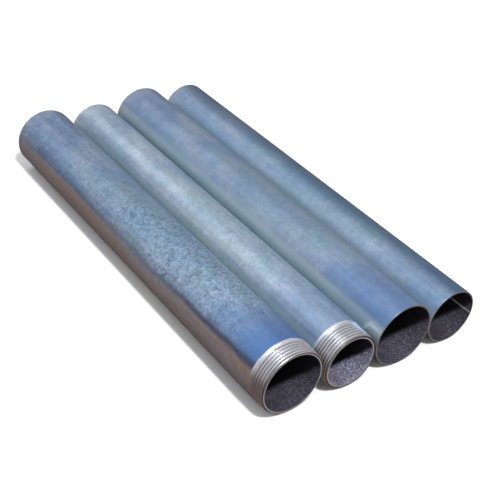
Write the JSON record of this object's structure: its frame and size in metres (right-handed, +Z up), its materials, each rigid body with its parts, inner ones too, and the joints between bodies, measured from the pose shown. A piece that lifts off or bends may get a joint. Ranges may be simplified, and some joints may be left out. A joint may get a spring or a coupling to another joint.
{
  "type": "row of steel tubes",
  "caption": "Short lengths of zinc-coated steel tube lying side by side, some with a threaded end and some plain, open right through.",
  "frame": {"origin": "on the floor under the middle of the row of tubes", "axes": "+Y along the tubes, from the threaded ends to the back ends; +X across the tubes, from the large threaded one to the small plain one; +Z up"},
  "size_m": [0.1789, 0.3464, 0.0483],
  "materials": {
    "large_threaded_zinc": "satin",
    "small_threaded_zinc": "satin",
    "large_plain_zinc": "satin",
    "small_plain_zinc": "satin"
  },
  "bodies": {
    "root": {"large_threaded_tube": "large_threaded_zinc", "small_threaded_tube": "small_threaded_zinc", "large_plain_tube": "large_plain_zinc", "small_plain_tube": "small_plain_zinc"}
  },
  "joints": []
}
